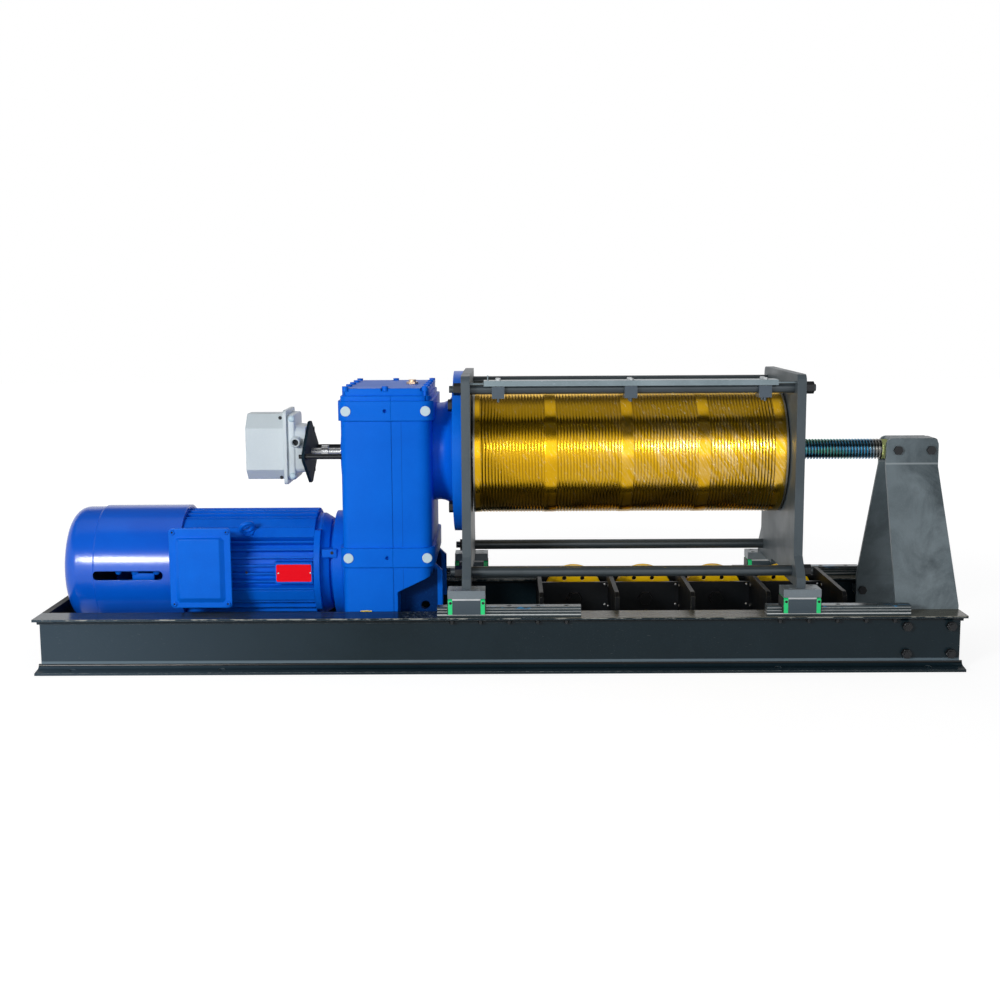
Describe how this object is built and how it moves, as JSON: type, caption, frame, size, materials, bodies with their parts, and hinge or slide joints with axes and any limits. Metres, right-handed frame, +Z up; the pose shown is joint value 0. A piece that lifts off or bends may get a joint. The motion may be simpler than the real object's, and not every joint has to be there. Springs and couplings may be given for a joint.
{
  "type": "stage winch",
  "caption": "Stage winch: a gear motor turns a grooved drum that travels along guide rails on a fixed screw, over rope sheaves in a steel base.",
  "frame": {"origin": "on the floor, under the middle of the base frame", "axes": "+X from the motor towards the screw bracket, +Y to the rear, +Z up"},
  "size_m": [2.6, 0.646, 0.828],
  "materials": {
    "frame_steel": "satin blue-grey",
    "dark_steel": "satin charcoal",
    "bracket_steel": "satin mid grey",
    "rail_steel": "ground",
    "block_steel": "dark ground",
    "bare_steel": "machined",
    "black_fasteners": "black oxide",
    "yellow_zinc": "yellow zinc",
    "drum_zinc": "gold zinc plate",
    "sheave_yellow": "gloss yellow",
    "blue_paint": "gloss blue",
    "green_plastic": "green",
    "black_rubber": "black",
    "cap_plastic": "off-white",
    "winding": "varnished core",
    "red_plate": "red anodised",
    "switch_grey": "light grey",
    "bar_aluminium": "mill",
    "bronze": "bronze",
    "fan_plastic": "black"
  },
  "bodies": {
    "base": {"front_beam": "frame_steel", "rear_beam": "frame_steel", "cross_plates": "dark_steel", "cheek_plates": "dark_steel", "sheave_axles": "bare_steel", "guide_rails": "rail_steel", "rail_bolts": "black_fasteners", "bracket_sheets": "bracket_steel", "bracket_head_block": "bracket_steel", "bracket_bolts": "black_fasteners", "foot_packers": "bracket_steel", "lead_screw": "bare_steel", "screw_lock_nut": "yellow_zinc"},
    "carriage": {"left_side_plate": "dark_steel", "right_side_plate": "dark_steel", "tie_rods": "dark_steel", "tie_rod_nuts": "black_fasteners", "riser_blocks": "block_steel", "riser_bolts": "bare_steel", "guide_blocks": "block_steel", "guide_end_caps": "green_plastic", "guide_seals": "black_rubber", "drum_bearing": "bare_steel", "gear_case_motor_side": "blue_paint", "gear_case_drum_side": "blue_paint", "gear_top_cover": "blue_paint", "cover_bolts": "blue_paint", "plug_caps": "cap_plastic", "breather": "bare_steel", "output_flange": "blue_paint", "flange_bolts": "black_fasteners", "gear_bearings": "bare_steel", "motor_adapter": "blue_paint", "motor_frame": "blue_paint", "stator_core": "winding", "motor_end_shields": "blue_paint", "brake_magnet": "black_fasteners", "fan_cowl": "blue_paint", "terminal_box": "blue_paint", "terminal_cover": "blue_paint", "eye_bolt": "blue_paint", "nameplate": "red_plate", "switch_plate": "black_fasteners", "switch_rods": "bare_steel", "switch_body": "switch_grey", "switch_hood": "switch_grey", "cover_bar": "bar_aluminium", "bar_clamps": "black_fasteners"},
    "drum": {"drum_shell": "drum_zinc", "drum_ends": "bare_steel", "output_shaft": "bare_steel", "screw_nut": "bronze", "switch_shaft": "bare_steel"},
    "intermediate": {"intermediate_gear": "bare_steel"},
    "rotor": {"motor_rotor": "bare_steel", "cooling_fan": "fan_plastic"},
    "sheave_1": {"sheave_1": "sheave_yellow"},
    "sheave_2": {"sheave_2": "sheave_yellow"},
    "sheave_3": {"sheave_3": "sheave_yellow"},
    "sheave_4": {"sheave_4": "sheave_yellow"}
  },
  "joints": [
    {"name": "carriage_slide", "type": "slide", "parent": "base", "child": "carriage", "axis": [1, 0, 0], "range_m": [0, 0.18901]},
    {"name": "drum_spin", "type": "hinge", "parent": "carriage", "child": "drum", "pos_m": [0.4, 0, 0.593], "axis": [1, 0, 0], "range_deg": [0, 7560]},
    {"name": "intermediate_spin", "type": "hinge", "parent": "carriage", "child": "intermediate", "pos_m": [-0.316, 0, 0.401], "axis": [1, 0, 0], "range_deg": [-35132.8, 0]},
    {"name": "rotor_spin", "type": "hinge", "parent": "carriage", "child": "rotor", "pos_m": [-0.73, 0, 0.26], "axis": [1, 0, 0], "range_deg": [0, 159127.2]},
    {"name": "sheave_1_spin", "type": "hinge", "parent": "base", "child": "sheave_1", "pos_m": [0.229, 0.181, 0.124], "axis": [0, 1, 0], "continuous": true},
    {"name": "sheave_2_spin", "type": "hinge", "parent": "base", "child": "sheave_2", "pos_m": [0.4465, 0.181, 0.124], "axis": [0, 1, 0], "continuous": true},
    {"name": "sheave_3_spin", "type": "hinge", "parent": "base", "child": "sheave_3", "pos_m": [0.664, 0.181, 0.124], "axis": [0, 1, 0], "continuous": true},
    {"name": "sheave_4_spin", "type": "hinge", "parent": "base", "child": "sheave_4", "pos_m": [0.8815, 0.181, 0.124], "axis": [0, 1, 0], "continuous": true}
  ],
  "couplings": [
    {"joint": "carriage_slide", "follows": "drum_spin", "m_per_rad": 0.0014324},
    {"joint": "intermediate_spin", "follows": "drum_spin", "ratio": -4.6471},
    {"joint": "rotor_spin", "follows": "drum_spin", "ratio": 21.048}
  ]
}
